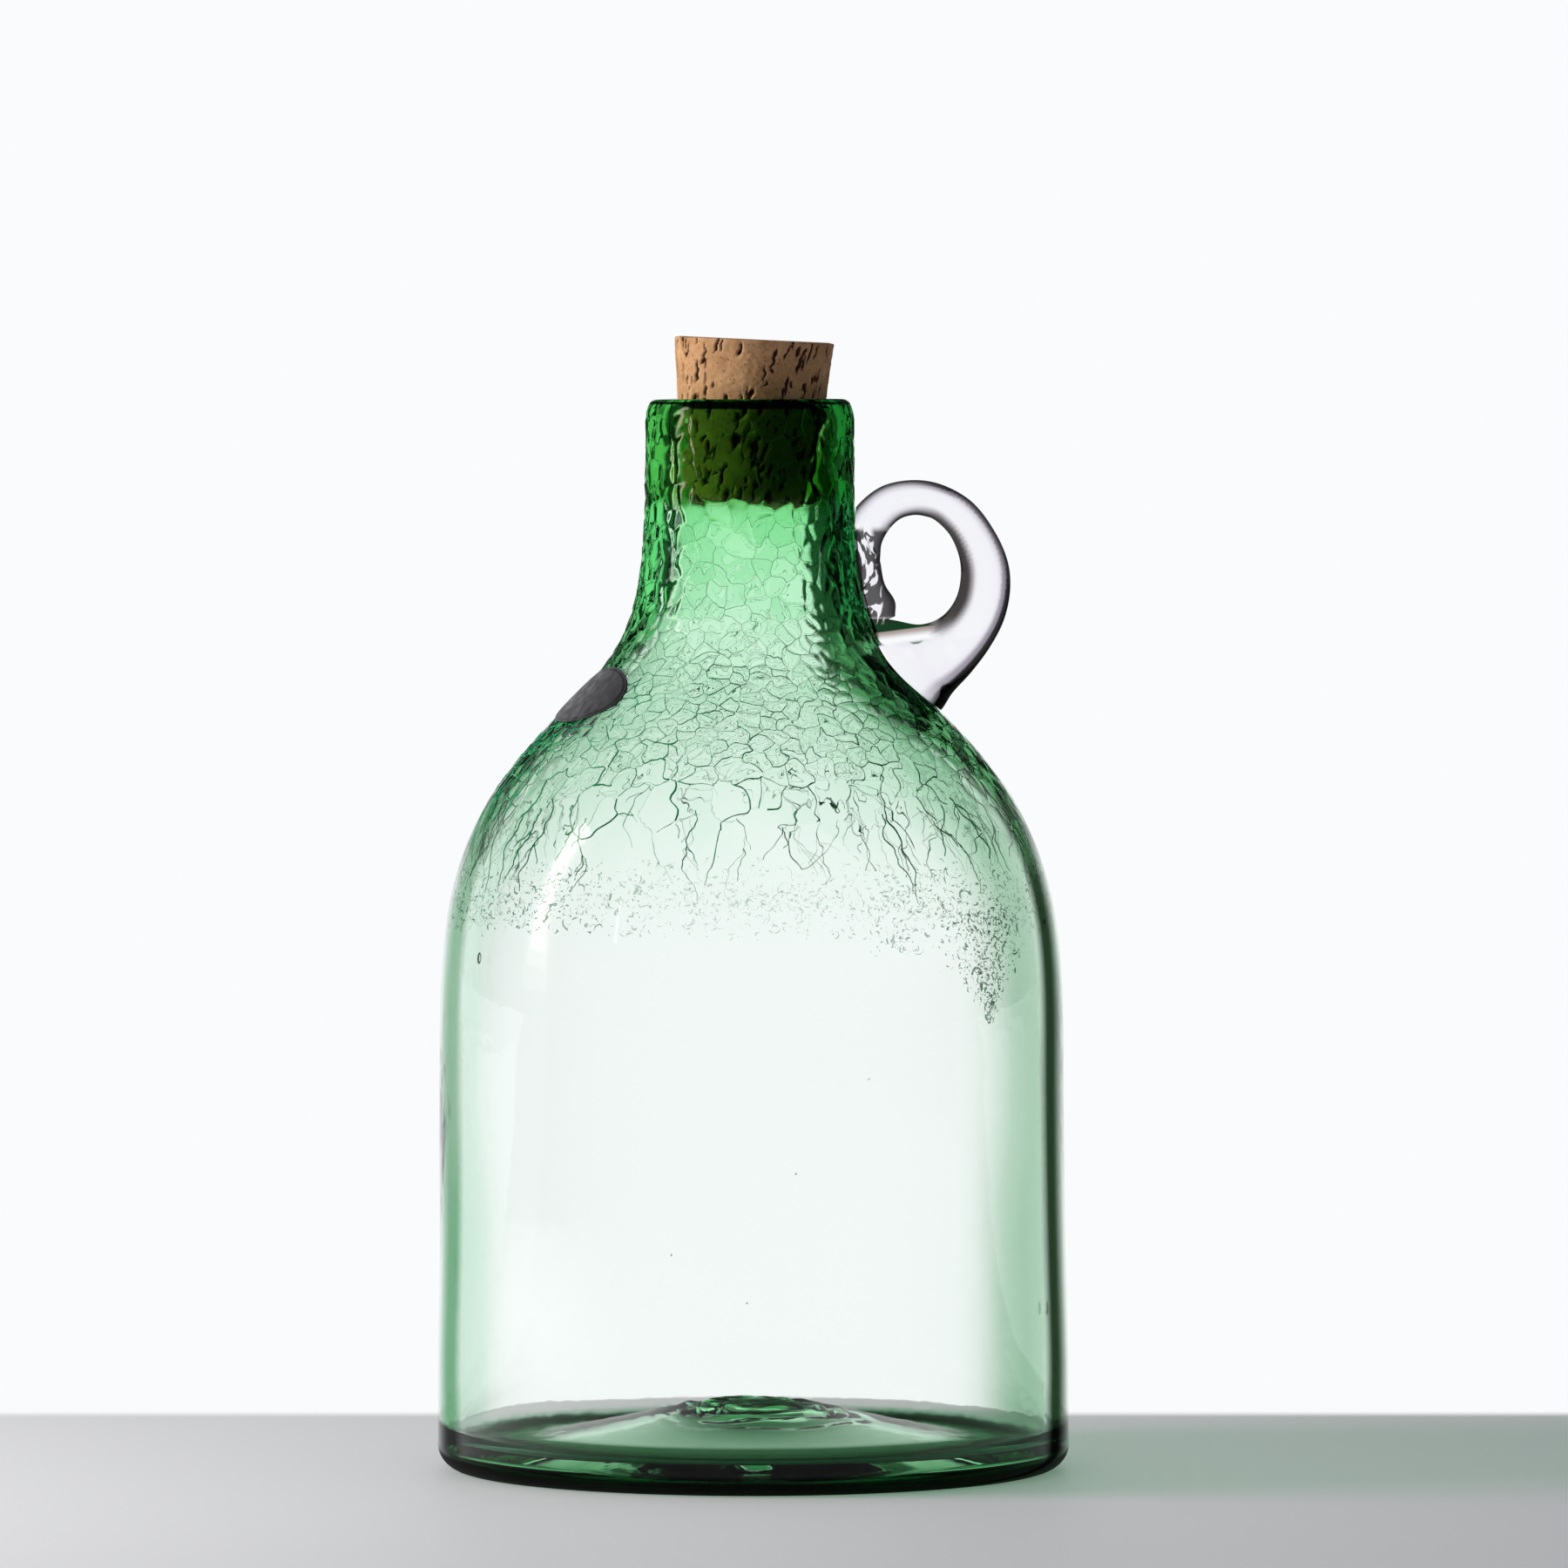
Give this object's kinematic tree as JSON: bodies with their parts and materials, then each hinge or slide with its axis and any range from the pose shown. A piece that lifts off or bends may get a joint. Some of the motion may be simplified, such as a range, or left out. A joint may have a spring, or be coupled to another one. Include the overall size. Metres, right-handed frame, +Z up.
{
  "type": "glass carboy",
  "caption": "Green crackle-glass carboy with a straight neck, a clear applied loop handle, a pushed-up base, a blank oval label and a tapered cork that lifts out.",
  "frame": {"origin": "on the vessel's axis, in the plane of the foot ring that it stands on", "axes": "+Z up along the vessel's axis, +X towards the loop handle, -Y the front"},
  "size_m": [0.1536, 0.1536, 0.2753],
  "materials": {
    "green_glass": "fire-polished blown glass, crackled from the lip to the shoulder",
    "clear_glass": "fire-polished clear glass",
    "cork": "natural cork with dark pores",
    "label_foil": "silver-grey paper sticker, blank"
  },
  "bodies": {
    "vessel": {"glass_vessel": "green_glass", "loop_handle": "clear_glass", "shoulder_label": "label_foil"},
    "stopper": {"cork_stopper": "cork"}
  },
  "joints": [
    {"name": "cork_pull", "type": "slide", "parent": "vessel", "child": "stopper", "axis": [0.0471, 0, 0.9989], "range_m": [0, 0.04]}
  ]
}
